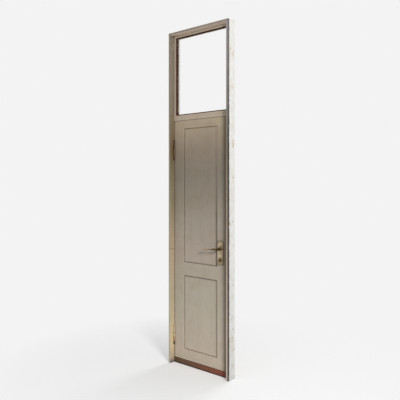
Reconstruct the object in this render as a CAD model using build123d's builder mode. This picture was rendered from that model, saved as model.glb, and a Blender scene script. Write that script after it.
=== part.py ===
"""A two-panel timber door leaf hung in its frame, below a transom light of clear glass.

X runs across the door from the hinge side to the lock side, Y from front to back, and Z up.
The origin is at the middle of the foot, on the middle plane of the leaf. Millimetres.
"""

import os
from math import asin, cos, radians, sin

from build123d import *

# Frame boards
frame_width = 672
frame_height = 2850
frame_depth = 86
lining_thickness = 18
reveal_depth = 50
housing_depth = 6
arris = 1.5
threshold_height = 47
bar_height = 46

# Leaf
leaf_height = 2040
leaf_thickness = 34
leaf_gap = 3
hinge_stile_width = 117
lock_stile_width = 133
top_rail_width = 68
upper_panel_height = 1142
lock_rail_width = 111
bottom_rail_width = 88
rebate_width = 10
rebate_depth = 8
stop_gap = 1
stop_clearance = 1.5

# Panels, which float in a groove round each opening
groove_width = 10
groove_depth = 10
tongue_slack = 1
tongue_play = 0.2
panel_margin = 11
margin_fall = 9
panel_sink = 0.5
panel_slack = 0.5

# Transom light
filler_width = 21
bead_face = 8
bead_depth = 13
bead_setback = 2
bead_round = 4
glass_thickness = 4
glass_slack = 2
setting_block_length = 60
setting_block_inset = 90

# Hinges
upper_hinge_drop = 249
lower_hinge_rise = 195
hinge_height = 120
knuckle_height = 30
knuckle_gap = 0.5
barrel_radius = 7
pin_radius = 3.5
pin_play = 0.05
pin_offset = 8.5
flap_thickness = 2.5
flap_reach = 24
finial_height = 29
hinge_screw_spacing = 44

# Screws
screw_shank_radius = 2
screw_head_radius = 4
screw_head_depth = 2.2
screw_play = 0.1
jamb_screw_length = 14
stile_screw_length = 28
plate_screw_length = 10

# Mortice lock
backset = 96
handle_rise = 976
key_drop = 91
lock_plane_y = -4
case_thickness = 14
case_wall = 2
case_end_wall = 1.5
case_tail = 19
case_head_room = 36
case_foot_room = 22
case_play = 0.25
faceplate_thickness = 2
faceplate_width = 18
faceplate_overhang = 20
faceplate_screw_inset = 8

# Handle and follower
follower_radius = 8.5
follower_arm_reach = 17
follower_arm_width = 4
follower_arm_thickness = 4.8
turning_play = 0.05
spindle_size = 8
spindle_play = 0.1
spindle_half_length = 52
neck_radius = 8.5
lever_reach = 60
lever_length = 155
lever_height = 14
lever_thickness = 12
lever_droop = 13
wood_hole_play = 1.5

# Latch bolt and dead bolt
latch_rise = 19
latch_height = 16
latch_projection = 10
latch_head_length = 34
latch_throw = 10.5
tail_height = 5
tail_thickness = 5
finger_width = 3
finger_clearance = 1
bolt_height = 22
bolt_throw = 14
bolt_play = 0.2
cam_radius = 9
cam_finger_reach = 15
cam_finger_width = 5
cam_thickness = 8
cam_play = 1.5
cam_seat_play = 0.02
talon_drop = 7
talon_width = 3.5

# Key cylinder and backplates
cylinder_radius = 13
cylinder_stand = 8
plug_radius = 7
plug_stand = 0.5
key_slot_width = 2.2
key_slot_height = 9
key_slot_depth = 20
plate_thickness = 5
plate_top_radius = 30
plate_foot_radius = 32
plate_top_rise = 62
plate_foot_drop = 127
plate_edge_chamfer = 1.5
collar_radius = 23
collar_height = 3
boss_radius = 14
boss_height = 2.5
plate_screw_inset = 6.5

# Strike plate
strike_thickness = 2
strike_width = 22
strike_overhang = 22
strike_lip = 14
strike_lip_height = 34
pocket_depth = 12
pocket_play = 1

# Wall fixings through the jambs
fixing_radius = 4.1
fixing_head_radius = 8
fixing_head_depth = 5
fixing_middle_height = 1000
outer_fixing_spacing = 1200
inner_fixing_spacing = 500

# Planes that the pieces share
face_y = -leaf_thickness / 2
back_y = leaf_thickness / 2
front_y = face_y - reveal_depth
rear_y = front_y + frame_depth
outer_x = frame_width / 2
clear_x = outer_x - lining_thickness
edge_x = clear_x - leaf_gap
opening_left = hinge_stile_width - edge_x
opening_right = edge_x - lock_stile_width
opening_middle = (opening_left + opening_right) / 2
opening_half = (opening_right - opening_left) / 2
leaf_bottom = threshold_height + leaf_gap
leaf_top = leaf_bottom + leaf_height
bar_bottom = leaf_top + leaf_gap
bar_top = bar_bottom + bar_height
head_bottom = frame_height - lining_thickness
shoulder_y = back_y - rebate_depth
stop_y = shoulder_y + stop_gap
stop_width = leaf_gap + rebate_width - stop_clearance

# Heights of the panel openings
upper_top = leaf_top - top_rail_width
upper_bottom = upper_top - upper_panel_height
lower_top = upper_bottom - lock_rail_width
lower_bottom = leaf_bottom + bottom_rail_width

# Glazing
filler_x = clear_x - filler_width
sight_x = filler_x - bead_face
filler_z = head_bottom - filler_width
sight_top = filler_z - bead_face
sight_bottom = bar_top + bead_face
bead_y = face_y + bead_setback
glass_y = bead_y + bead_depth
lip_y = glass_y + glass_thickness

# Lock and handle
handle_x = edge_x - backset
handle_z = leaf_bottom + handle_rise
key_z = handle_z - key_drop
latch_z = handle_z + latch_rise
bolt_z = key_z + cam_finger_reach + cam_play + bolt_height / 2
case_front_y = lock_plane_y - case_thickness / 2
case_back_y = lock_plane_y + case_thickness / 2
case_inner_x = handle_x - case_tail
case_outer_x = edge_x - faceplate_thickness
case_top = handle_z + case_head_room
case_foot = key_z - case_foot_room
cavity_half = case_thickness / 2 - case_wall
plate_y = face_y - plate_thickness
lever_y = face_y - lever_reach + lever_thickness / 2

# Hinges
pin_x = -clear_x + pin_offset
pin_y = face_y - pin_offset
hinge_heights = {
    "upper": leaf_top - upper_hinge_drop,
    "lower": leaf_bottom + lower_hinge_rise,
}

os.makedirs("parts", exist_ok=True)


def block(x, y, z, mode=Mode.ADD):
    """Add or cut a square-edged block between pairs of X, Y and Z."""
    with Locations(((x[0] + x[1]) / 2, (y[0] + y[1]) / 2, (z[0] + z[1]) / 2)):
        Box(x[1] - x[0], y[1] - y[0], z[1] - z[0], mode=mode)


def front_plane(y):
    """A sketch plane seen from the front, whose extrusion comes towards the viewer."""
    return Plane(origin=(0, y, 0), x_dir=(1, 0, 0), z_dir=(0, -1, 0))


def rod(centre, direction, radius, length, mode=Mode.ADD):
    """Add or cut a round rod that starts at a point and runs along a direction."""
    with Locations(Plane(origin=centre, z_dir=direction)):
        Cylinder(radius, length, align=(Align.CENTER, Align.CENTER, Align.MIN), mode=mode)


def screw_seat(centre, direction, length, play=screw_play):
    """Cut the countersunk hole of one screw, from the surface that its head is flush with."""
    with Locations(Plane(origin=centre, z_dir=direction)):
        Cone(
            screw_head_radius + play,
            screw_shank_radius + play,
            screw_head_depth,
            align=(Align.CENTER, Align.CENTER, Align.MIN),
            mode=Mode.SUBTRACT,
        )
    rod(centre, direction, screw_shank_radius + play, length + play, Mode.SUBTRACT)


def screw(centre, direction, length):
    """Add one countersunk screw with a slot across its head."""
    with Locations(Plane(origin=centre, z_dir=direction)):
        Cone(
            screw_head_radius,
            screw_shank_radius,
            screw_head_depth,
            align=(Align.CENTER, Align.CENTER, Align.MIN),
        )
        Box(
            2 * screw_head_radius + 1,
            screw_head_radius / 4,
            screw_head_depth / 2,
            align=(Align.CENTER, Align.CENTER, Align.CENTER),
            mode=Mode.SUBTRACT,
        )
    with Locations(Plane(origin=centre, z_dir=direction)):
        with Locations((0, 0, screw_head_depth)):
            Cylinder(
                screw_shank_radius,
                length - screw_head_depth,
                align=(Align.CENTER, Align.CENTER, Align.MIN),
            )


def save(name, label):
    """Label a finished piece and write its STEP file."""
    name.part.label = label
    export_step(name.part, f"parts/{label}.step")


def hinge_screw_points(x):
    """The screw centres of both hinges on the plane X, staggered across the flap."""
    stagger = flap_reach / 5
    middle = face_y + flap_reach / 2
    return [
        (x, middle + (stagger if n == 0 else -stagger), height + n * hinge_screw_spacing)
        for height in hinge_heights.values()
        for n in (-1, 0, 1)
    ]


faceplate_top = case_top + faceplate_overhang
faceplate_foot = case_foot - faceplate_overhang
faceplate_screws = [
    (edge_x, lock_plane_y, z)
    for z in (faceplate_top - faceplate_screw_inset, faceplate_foot + faceplate_screw_inset)
]
strike_top = latch_z + latch_height / 2 + strike_overhang
strike_foot = bolt_z - bolt_height / 2 - strike_overhang
strike_screws = [
    (clear_x, lock_plane_y, z)
    for z in (strike_top - faceplate_screw_inset, strike_foot + faceplate_screw_inset)
]
plate_top = handle_z + plate_top_rise
plate_foot = handle_z - plate_foot_drop
plate_screws = [
    (handle_x, z) for z in (plate_top - plate_screw_inset, plate_foot + plate_screw_inset)
]


# Jambs: boards housed into the head, with seats for the bar, threshold, fixings and fittings
def jamb_board(side):
    """Build one jamb board in the open part; side is -1 at the hinges and 1 at the lock."""
    inner, outer = side * clear_x, side * outer_x
    across = sorted((inner, outer))
    block(across, (front_y, rear_y), (0, head_bottom + housing_depth))
    seat = sorted((inner, inner + side * housing_depth))
    block(seat, (face_y, rear_y), (bar_bottom, bar_top), Mode.SUBTRACT)
    block(seat, (face_y, rear_y), (0, threshold_height), Mode.SUBTRACT)
    for spacing in (outer_fixing_spacing, inner_fixing_spacing):
        for end in (-1, 1):
            centre = (inner, lock_plane_y, fixing_middle_height + end * spacing / 2)
            rod(centre, (side, 0, 0), fixing_radius, lining_thickness, Mode.SUBTRACT)
            rod(centre, (side, 0, 0), fixing_head_radius, fixing_head_depth, Mode.SUBTRACT)


with BuildPart() as hinge_jamb:
    jamb_board(-1)
    for height in hinge_heights.values():
        flap_z = (height - hinge_height / 2, height + hinge_height / 2)
        flap_y = (pin_y - flap_thickness, face_y + flap_reach)
        block((-clear_x - flap_thickness, -clear_x), flap_y, flap_z, Mode.SUBTRACT)
    for centre in hinge_screw_points(-clear_x):
        screw_seat(centre, (-1, 0, 0), jamb_screw_length)
    front_arrises = hinge_jamb.edges().filter_by(Axis.Z).group_by(Axis.Y)[0]
    chamfer(front_arrises, arris)
save(hinge_jamb, "hinge_jamb")

with BuildPart() as lock_jamb:
    jamb_board(1)
    strike_y = (lock_plane_y - strike_width / 2, lock_plane_y + strike_width / 2)
    lip_y_range = (strike_y[0] - strike_lip, strike_y[0])
    lip_z = (latch_z - strike_lip_height / 2, latch_z + strike_lip_height / 2)
    strike_x = (clear_x, clear_x + strike_thickness)
    block(strike_x, strike_y, (strike_foot, strike_top), Mode.SUBTRACT)
    block(strike_x, lip_y_range, lip_z, Mode.SUBTRACT)
    pocket_x = (clear_x, clear_x + strike_thickness + pocket_depth)
    pocket_y = (lock_plane_y - cavity_half - pocket_play, lock_plane_y + cavity_half + pocket_play)
    for middle, height in ((latch_z, latch_height), (bolt_z, bolt_height)):
        pocket_z = (middle - height / 2 - pocket_play, middle + height / 2 + pocket_play)
        block(pocket_x, pocket_y, pocket_z, Mode.SUBTRACT)
    for centre in strike_screws:
        screw_seat(centre, (1, 0, 0), plate_screw_length)
    front_arrises = lock_jamb.edges().filter_by(Axis.Z).group_by(Axis.Y)[0]
    chamfer(front_arrises, arris)
save(lock_jamb, "lock_jamb")

with BuildPart() as frame_head:
    block((-outer_x, outer_x), (front_y, rear_y), (head_bottom, frame_height))
    for side in (-1, 1):
        end = sorted((side * clear_x, side * outer_x))
        housing_z = (head_bottom, head_bottom + housing_depth)
        block(end, (front_y, rear_y), housing_z, Mode.SUBTRACT)
    top_arris = frame_head.edges().filter_by(Axis.X).group_by(Axis.Y)[0].sort_by(Axis.Z)[-1]
    chamfer(top_arris, arris)
save(frame_head, "frame_head")

with BuildPart() as transom_bar:
    with BuildSketch(Plane.YZ.offset(-filler_x)):
        with BuildLine():
            Polyline(
                (face_y, bar_bottom),
                (rear_y, bar_bottom),
                (rear_y, sight_bottom),
                (lip_y, sight_bottom),
                (lip_y, bar_top),
                (face_y, bar_top),
                close=True,
            )
        make_face()
    extrude(amount=2 * filler_x)
    for side in (-1, 1):
        tenon_x = sorted((side * filler_x, side * (clear_x + housing_depth)))
        block(tenon_x, (face_y, rear_y), (bar_bottom, bar_top))
    bar_arris = transom_bar.edges().filter_by(Axis.X).group_by(Axis.Y)[0].sort_by(Axis.Z)[0]
    chamfer(bar_arris, arris)
save(transom_bar, "transom_bar")

with BuildPart() as threshold:
    with BuildSketch(Plane.YZ.offset(-clear_x - housing_depth)):
        with BuildLine():
            Polyline(
                (face_y, 0),
                (rear_y, 0),
                (rear_y, threshold_height),
                (face_y, threshold_height),
                close=True,
            )
        make_face()
    extrude(amount=2 * (clear_x + housing_depth))
    nosing = threshold.edges().filter_by(Axis.X).group_by(Axis.Z)[-1].sort_by(Axis.Y)[0]
    chamfer(nosing, 2 * arris)
save(threshold, "threshold")


# Planted stops, which the leaf's rebate closes on
with BuildPart() as head_stop:
    block((-clear_x, clear_x), (stop_y, rear_y), (bar_bottom - stop_width, bar_bottom))
save(head_stop, "head_stop")

for side, label in ((-1, "hinge_side_stop"), (1, "lock_side_stop")):
    with BuildPart() as side_stop:
        stop_x = sorted((side * clear_x, side * (clear_x - stop_width)))
        stop_z = (threshold_height, bar_bottom - stop_width)
        block(stop_x, (stop_y, rear_y), stop_z)
        inner_arris = side_stop.edges().filter_by(Axis.Z).group_by(Axis.Y)[-1]
        chamfer(inner_arris.sort_by(Axis.X)[0 if side > 0 else -1], arris)
    save(side_stop, label)


# Fillers that carry the glass, each with a lip behind it
for side, label in ((-1, "hinge_side_filler"), (1, "lock_side_filler")):
    with BuildPart() as side_filler:
        with BuildSketch(Plane.XY.offset(bar_top)):
            with BuildLine():
                Polyline(
                    (side * clear_x, face_y),
                    (side * clear_x, rear_y),
                    (side * filler_x, rear_y),
                    (side * filler_x, face_y),
                    close=True,
                )
            make_face()
        extrude(amount=filler_z - bar_top)
        lip_x = sorted((side * filler_x, side * sight_x))
        block(lip_x, (lip_y, rear_y), (sight_bottom, filler_z))
        sight_arris = side_filler.edges().filter_by(Axis.Z).group_by(Axis.Y)[0]
        chamfer(sight_arris.sort_by(Axis.X)[0 if side > 0 else -1], arris)
    save(side_filler, label)

with BuildPart() as head_filler:
    block((-clear_x, clear_x), (face_y, rear_y), (filler_z, head_bottom))
    block((-sight_x, sight_x), (lip_y, rear_y), (sight_top, filler_z))
    filler_arris = head_filler.edges().filter_by(Axis.X).group_by(Axis.Y)[0].sort_by(Axis.Z)[0]
    chamfer(filler_arris, arris)
save(head_filler, "head_filler")


# Glazing beads, mitred at the corners and rounded on the sight edge
bead_outer = [(-filler_x, bar_top), (filler_x, bar_top), (filler_x, filler_z), (-filler_x, filler_z)]
bead_inner = [
    (-sight_x, sight_bottom),
    (sight_x, sight_bottom),
    (sight_x, sight_top),
    (-sight_x, sight_top),
]
for n, place in enumerate(("foot", "lock_side", "head", "hinge_side")):
    with BuildPart() as bead:
        start, end = n, (n + 1) % 4
        with BuildSketch(front_plane(glass_y)):
            with BuildLine():
                Polyline(
                    bead_outer[start],
                    bead_outer[end],
                    bead_inner[end],
                    bead_inner[start],
                    close=True,
                )
            make_face()
        extrude(amount=bead_depth)
        middle = (
            (bead_inner[start][0] + bead_inner[end][0]) / 2,
            bead_y,
            (bead_inner[start][1] + bead_inner[end][1]) / 2,
        )
        fillet(bead.edges().sort_by_distance(middle)[0], bead_round)
    save(bead, f"{place}_bead")

with BuildPart() as glass_pane:
    pane_x = filler_x - glass_slack
    pane_z = (bar_top + glass_slack, filler_z - glass_slack)
    block((-pane_x, pane_x), (glass_y, lip_y), pane_z)
save(glass_pane, "glass_pane")

with BuildPart() as setting_blocks:
    for side in (-1, 1):
        middle = side * (filler_x - setting_block_inset)
        block_x = (middle - setting_block_length / 2, middle + setting_block_length / 2)
        block(block_x, (glass_y, lip_y), (bar_top, bar_top + glass_slack))
save(setting_blocks, "setting_blocks")


# Leaf framing: two stiles with a groove on the inner edge and a rebate at the back
def stile_board(side):
    """Build one stile in the open part; side is -1 at the hinges and 1 at the lock."""
    inner = opening_left if side < 0 else opening_right
    across = sorted((inner, side * edge_x))
    block(across, (face_y, back_y), (leaf_bottom, leaf_top))
    groove = sorted((inner, inner + side * groove_depth))
    groove_y = (-groove_width / 2, groove_width / 2)
    block(groove, groove_y, (leaf_bottom, leaf_top), Mode.SUBTRACT)
    rebate = sorted((side * (edge_x - rebate_width), side * edge_x))
    block(rebate, (shoulder_y, back_y), (leaf_bottom, leaf_top), Mode.SUBTRACT)
    block(across, (shoulder_y, back_y), (leaf_top - rebate_width, leaf_top), Mode.SUBTRACT)


with BuildPart() as hinge_stile:
    stile_board(-1)
    for height in hinge_heights.values():
        flap_z = (height - hinge_height / 2, height + hinge_height / 2)
        flap_x = (-edge_x, -edge_x + flap_thickness)
        block(flap_x, (face_y, face_y + flap_reach), flap_z, Mode.SUBTRACT)
    for centre in hinge_screw_points(-edge_x):
        screw_seat(centre, (1, 0, 0), stile_screw_length)
save(hinge_stile, "hinge_stile")

with BuildPart() as lock_stile:
    stile_board(1)
    pocket_x = (case_inner_x - case_play, edge_x)
    pocket_y = (case_front_y - case_play, case_back_y + case_play)
    block(pocket_x, pocket_y, (case_foot - case_play, case_top + case_play), Mode.SUBTRACT)
    plate_y_range = (lock_plane_y - faceplate_width / 2, lock_plane_y + faceplate_width / 2)
    block((case_outer_x, edge_x), plate_y_range, (faceplate_foot, faceplate_top), Mode.SUBTRACT)
    through = leaf_thickness
    spindle_hole = neck_radius + wood_hole_play
    rod((handle_x, back_y, handle_z), (0, -1, 0), spindle_hole, through, Mode.SUBTRACT)
    cylinder_hole = cylinder_radius + case_play
    rod((handle_x, back_y, key_z), (0, -1, 0), cylinder_hole, through, Mode.SUBTRACT)
    hole_radius = screw_shank_radius + screw_play
    hole_depth = plate_screw_length - plate_thickness + screw_play
    for x, z in plate_screws:
        rod((x, face_y, z), (0, 1, 0), hole_radius, hole_depth, Mode.SUBTRACT)
        rod((x, back_y, z), (0, -1, 0), hole_radius, hole_depth, Mode.SUBTRACT)
    for centre in faceplate_screws:
        screw_seat(centre, (-1, 0, 0), stile_screw_length)
save(lock_stile, "lock_stile")


# Rails, with stub tenons that run in the stiles' grooves
def rail_board(low, high, grooved_below, grooved_above, rebated):
    """Build one rail in the open part between two heights."""
    rail_x = (opening_left, opening_right)
    block(rail_x, (face_y, back_y), (low, high))
    tenon_low = low + (groove_depth if grooved_below else 0)
    tenon_high = high - (groove_depth if grooved_above else 0)
    tenon_y = (-groove_width / 2, groove_width / 2)
    for side, inner in ((-1, opening_left), (1, opening_right)):
        tenon = sorted((inner, inner + side * groove_depth))
        block(tenon, tenon_y, (tenon_low, tenon_high))
    if grooved_below:
        block(rail_x, tenon_y, (low, low + groove_depth), Mode.SUBTRACT)
    if grooved_above:
        block(rail_x, tenon_y, (high - groove_depth, high), Mode.SUBTRACT)
    if rebated:
        block(rail_x, (shoulder_y, back_y), (high - rebate_width, high), Mode.SUBTRACT)


with BuildPart() as top_rail:
    rail_board(upper_top, leaf_top, True, False, True)
save(top_rail, "top_rail")

with BuildPart() as lock_rail:
    rail_board(lower_top, upper_bottom, True, True, False)
save(lock_rail, "lock_rail")

with BuildPart() as bottom_rail:
    rail_board(leaf_bottom, lower_bottom, False, True, False)
save(bottom_rail, "bottom_rail")


# Raised and fielded panels: the margin falls away from the field to a tongue in the groove
def fielded_panel(low, high):
    """Build one panel in the open part, for an opening between two heights."""
    middle = (opening_middle, (low + high) / 2)
    opening_half_height = (high - low) / 2
    body_half_y = leaf_thickness / 2 - margin_fall
    field_half_y = leaf_thickness / 2 - panel_sink
    tongue_half_y = groove_width / 2 - tongue_play

    def spread(grow):
        """The X and Z ranges of the opening, grown or shrunk all round."""
        half_x, half_z = opening_half + grow, opening_half_height + grow
        return (middle[0] - half_x, middle[0] + half_x), (middle[1] - half_z, middle[1] + half_z)

    for grow, half_y in ((-panel_slack, body_half_y), (groove_depth - tongue_slack, tongue_half_y)):
        x, z = spread(grow)
        block(x, (-half_y, half_y), z)
    for face in (-1, 1):
        slope = []
        for grow, half_y in ((-panel_slack, body_half_y), (-panel_margin, field_half_y)):
            with BuildSketch(front_plane(face * half_y)) as outline:
                with Locations(middle):
                    Rectangle(2 * (opening_half + grow), 2 * (opening_half_height + grow))
            slope.append(outline.sketch.face())
        loft(sections=slope, ruled=True)


with BuildPart() as upper_panel:
    fielded_panel(upper_bottom, upper_top)
save(upper_panel, "upper_panel")

with BuildPart() as lower_panel:
    fielded_panel(lower_bottom, lower_top)
save(lower_panel, "lower_panel")


# Hinges: two flaps that share three knuckles, a pin with a finial and a foot finial
def barrel(low, high):
    """Add one knuckle between two heights."""
    rod((pin_x, pin_y, low), (0, 0, 1), barrel_radius, high - low)


def bore(low, high):
    """Cut the pin's bore between two heights."""
    rod((pin_x, pin_y, low), (0, 0, 1), pin_radius + pin_play, high - low, Mode.SUBTRACT)


def finial_curve(base, up):
    """The points of an urn finial's outline, from its base up to its tip or down to it."""
    shape = ((0.62, 0.12), (0.42, 0.26), (0.78, 0.55), (0, 1))
    return [(barrel_radius * out, base + up * finial_height * along) for out, along in shape]


for place, height in hinge_heights.items():
    hinge_foot, hinge_head = height - hinge_height / 2, height + hinge_height / 2
    low_knuckle = (hinge_foot, hinge_foot + knuckle_height)
    high_knuckle = (hinge_head - knuckle_height, hinge_head)
    middle_knuckle = (low_knuckle[1] + knuckle_gap, high_knuckle[0] - knuckle_gap)

    with BuildPart() as jamb_flap:
        flap_x = (-clear_x - flap_thickness, -clear_x)
        flap_y = (pin_y - flap_thickness, face_y + flap_reach)
        block(flap_x, flap_y, (hinge_foot, hinge_head))
        for knuckle in (low_knuckle, high_knuckle):
            block((-clear_x, pin_x), (pin_y - flap_thickness, pin_y), knuckle)
            barrel(*knuckle)
            bore(*knuckle)
        for centre in hinge_screw_points(-clear_x):
            screw_seat(centre, (-1, 0, 0), jamb_screw_length)
    save(jamb_flap, f"{place}_hinge_jamb_flap")

    with BuildPart() as stile_flap:
        flap_x = (-edge_x, -edge_x + flap_thickness)
        block(flap_x, (face_y, face_y + flap_reach), (hinge_foot, hinge_head))
        block(flap_x, (pin_y + pin_radius, face_y), middle_knuckle)
        barrel(*middle_knuckle)
        bore(*middle_knuckle)
        for centre in hinge_screw_points(-edge_x):
            screw_seat(centre, (1, 0, 0), stile_screw_length)
    save(stile_flap, f"{place}_hinge_stile_flap")

    with BuildPart() as hinge_pin:
        rod((pin_x, pin_y, hinge_foot), (0, 0, 1), pin_radius, hinge_height)
        curve = finial_curve(hinge_head, 1)
        with BuildSketch(Plane(origin=(pin_x, pin_y, 0), x_dir=(1, 0, 0), z_dir=(0, -1, 0))):
            with BuildLine():
                rim = (barrel_radius, curve[0][1])
                Polyline(curve[-1], (0, hinge_head), (barrel_radius, hinge_head), rim, curve[0])
                Spline(*curve)
            make_face()
        revolve(axis=Axis((pin_x, pin_y, 0), (0, 0, 1)))
    save(hinge_pin, f"{place}_hinge_pin")

    with BuildPart() as foot_finial:
        curve = finial_curve(hinge_foot, -1)
        with BuildSketch(Plane(origin=(pin_x, pin_y, 0), x_dir=(1, 0, 0), z_dir=(0, -1, 0))):
            with BuildLine():
                rim = (barrel_radius, curve[0][1])
                Polyline(curve[-1], (0, hinge_foot), (barrel_radius, hinge_foot), rim, curve[0])
                Spline(*curve)
            make_face()
        revolve(axis=Axis((pin_x, pin_y, 0), (0, 0, 1)))
    save(foot_finial, f"{place}_hinge_foot_finial")

with BuildPart() as jamb_hinge_screws:
    for centre in hinge_screw_points(-clear_x):
        screw(centre, (-1, 0, 0), jamb_screw_length)
save(jamb_hinge_screws, "jamb_hinge_screws")

with BuildPart() as stile_hinge_screws:
    for centre in hinge_screw_points(-edge_x):
        screw(centre, (1, 0, 0), stile_screw_length)
save(stile_hinge_screws, "stile_hinge_screws")


# Lock case: a hollow box whose nose guides the two bolts
nose_x = edge_x + latch_projection - latch_head_length
with BuildPart() as lock_case:
    case_y = (case_front_y, case_back_y)
    block((case_inner_x, case_outer_x), case_y, (case_foot, case_top))
    cavity_x = (case_inner_x + case_end_wall, nose_x - finger_clearance)
    cavity_y = (lock_plane_y - cavity_half, lock_plane_y + cavity_half)
    cavity_z = (case_foot + case_wall, case_top - case_wall)
    block(cavity_x, cavity_y, cavity_z, Mode.SUBTRACT)
    for middle, height in ((latch_z, latch_height), (bolt_z, bolt_height)):
        guide_z = (middle - height / 2 - bolt_play, middle + height / 2 + bolt_play)
        block((nose_x - finger_clearance, case_outer_x), cavity_y, guide_z, Mode.SUBTRACT)
    case_back = (handle_x, case_back_y, handle_z)
    rod(case_back, (0, -1, 0), follower_radius + turning_play, case_thickness, Mode.SUBTRACT)
    key_back = (handle_x, case_back_y, key_z)
    rod(key_back, (0, -1, 0), plug_radius + turning_play, case_thickness, Mode.SUBTRACT)
save(lock_case, "lock_case")

with BuildPart() as faceplate:
    with BuildSketch(Plane.YZ.offset(case_outer_x)):
        with Locations((lock_plane_y, (faceplate_foot + faceplate_top) / 2)):
            Rectangle(faceplate_width, faceplate_top - faceplate_foot)
        for middle, height in ((latch_z, latch_height), (bolt_z, bolt_height)):
            with Locations((lock_plane_y, middle)):
                slot = (2 * cavity_half, height + 2 * bolt_play)
                Rectangle(*slot, mode=Mode.SUBTRACT)
    extrude(amount=faceplate_thickness)
    for centre in faceplate_screws:
        screw_seat(centre, (-1, 0, 0), stile_screw_length)
save(faceplate, "lock_faceplate")

with BuildPart() as faceplate_screw_pair:
    for centre in faceplate_screws:
        screw(centre, (-1, 0, 0), stile_screw_length)
save(faceplate_screw_pair, "faceplate_screws")


# Latch bolt: a bevelled head, and a tail whose finger hooks behind the follower's arm
bolt_half = cavity_half - bolt_play
finger_face_x = handle_x - follower_arm_width / 2 - finger_clearance
tail_low = handle_z + follower_arm_reach + finger_clearance
with BuildPart() as latch_bolt:
    latch_tip = edge_x + latch_projection
    with BuildSketch(Plane.XY.offset(latch_z - latch_height / 2)):
        with BuildLine():
            Polyline(
                (nose_x, lock_plane_y - bolt_half),
                (latch_tip, lock_plane_y - bolt_half),
                (latch_tip, lock_plane_y - bolt_half / 2),
                (edge_x + bolt_play, lock_plane_y + bolt_half),
                (nose_x, lock_plane_y + bolt_half),
                close=True,
            )
        make_face()
    extrude(amount=latch_height)
    tail_y = (lock_plane_y - tail_thickness / 2, lock_plane_y + tail_thickness / 2)
    tail_x = (finger_face_x - finger_width, nose_x)
    block(tail_x, tail_y, (tail_low, tail_low + tail_height))
    finger_z = (handle_z + follower_radius + turning_play + case_play, tail_low)
    block((finger_face_x - finger_width, finger_face_x), tail_y, finger_z)
save(latch_bolt, "latch_bolt")


# Dead bolt: a square bar with two talons that the cam's finger works between
cam_swing = radians(45)
talon_right_x = handle_x - bolt_throw + cam_finger_reach * sin(cam_swing) + cam_play / 2
talon_right_x += cam_finger_width / 2 * cos(cam_swing)
talon_left_x = handle_x - cam_finger_reach * sin(cam_swing) - cam_play / 2
talon_left_x -= cam_finger_width / 2 * cos(cam_swing)
with BuildPart() as dead_bolt:
    bolt_low, bolt_high = bolt_z - bolt_height / 2, bolt_z + bolt_height / 2
    bolt_y = (lock_plane_y - bolt_half, lock_plane_y + bolt_half)
    block((talon_left_x - talon_width, edge_x), bolt_y, (bolt_low, bolt_high))
    talon_z = (bolt_low - talon_drop, bolt_low)
    block((talon_left_x - talon_width, talon_left_x), bolt_y, talon_z)
    block((talon_right_x, talon_right_x + talon_width), bolt_y, talon_z)
    chamfer(dead_bolt.edges().group_by(Axis.X)[-1], arris / 2)
save(dead_bolt, "dead_bolt")


# Follower: a hub with a square hole, and the arm that draws the latch back
with BuildPart() as follower:
    hub_back = (handle_x, case_back_y, handle_z)
    rod(hub_back, (0, -1, 0), follower_radius, case_thickness)
    arm_x = (handle_x - follower_arm_width / 2, handle_x + follower_arm_width / 2)
    arm_half = follower_arm_thickness / 2
    arm_y = (lock_plane_y - arm_half, lock_plane_y + arm_half)
    block(arm_x, arm_y, (handle_z, handle_z + follower_arm_reach))
    socket = spindle_size / 2 + spindle_play
    square_x = (handle_x - socket, handle_x + socket)
    square_z = (handle_z - socket, handle_z + socket)
    block(square_x, (case_front_y, case_back_y), square_z, Mode.SUBTRACT)
save(follower, "follower")

with BuildPart() as spindle:
    side_x = (handle_x - spindle_size / 2, handle_x + spindle_size / 2)
    side_z = (handle_z - spindle_size / 2, handle_z + spindle_size / 2)
    block(side_x, (-spindle_half_length, spindle_half_length), side_z)
save(spindle, "spindle")


# Levers: a round neck that turns into a flattened arm, which droops towards its tip
lever_stations = (
    (-(neck_radius - 1) / lever_length, 0.72, 0.85),
    (0, 1, 1),
    (0.3, 0.8, 0.85),
    (0.65, 0.7, 0.75),
    (0.92, 0.85, 0.85),
    (1, 0.5, 0.5),
)
lever_sections = []
for along, tall, thick in lever_stations:
    drop = lever_droop * max(along, 0) ** 1.3
    centre = (handle_x - lever_length * along, lever_y, handle_z - drop)
    with BuildSketch(Plane(origin=centre, x_dir=(0, 1, 0), z_dir=(-1, 0, 0))) as lever_section:
        Ellipse(lever_thickness * thick / 2, lever_height * tall / 2)
    lever_sections.append(lever_section.sketch.face())

for label in ("front_lever", "rear_lever"):
    with BuildPart() as lever:
        loft(sections=lever_sections)
        rod((handle_x, face_y, handle_z), (0, -1, 0), neck_radius, face_y - lever_y)
        socket = spindle_size / 2 + spindle_play
        square_x = (handle_x - socket, handle_x + socket)
        square_z = (handle_z - socket, handle_z + socket)
        block(square_x, (-spindle_half_length - spindle_play, face_y), square_z, Mode.SUBTRACT)
        if label == "rear_lever":
            mirror(about=Plane.XZ, mode=Mode.REPLACE)
    save(lever, label)


# Backplates: long tapered plates with round ends, a boss for the lever and a collar
top_centre_z = plate_top - plate_top_radius
foot_centre_z = plate_foot + plate_foot_radius
taper = asin((plate_foot_radius - plate_top_radius) / (top_centre_z - foot_centre_z))
top_out, top_up = plate_top_radius * cos(taper), plate_top_radius * sin(taper)
foot_out, foot_up = plate_foot_radius * cos(taper), plate_foot_radius * sin(taper)
top_left = (handle_x - top_out, top_centre_z + top_up)
top_right = (handle_x + top_out, top_centre_z + top_up)
foot_left = (handle_x - foot_out, foot_centre_z + foot_up)
foot_right = (handle_x + foot_out, foot_centre_z + foot_up)
plate_holes = (
    (handle_z, boss_radius, boss_height, neck_radius + turning_play),
    (key_z, collar_radius, collar_height, cylinder_radius + turning_play),
)

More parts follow.
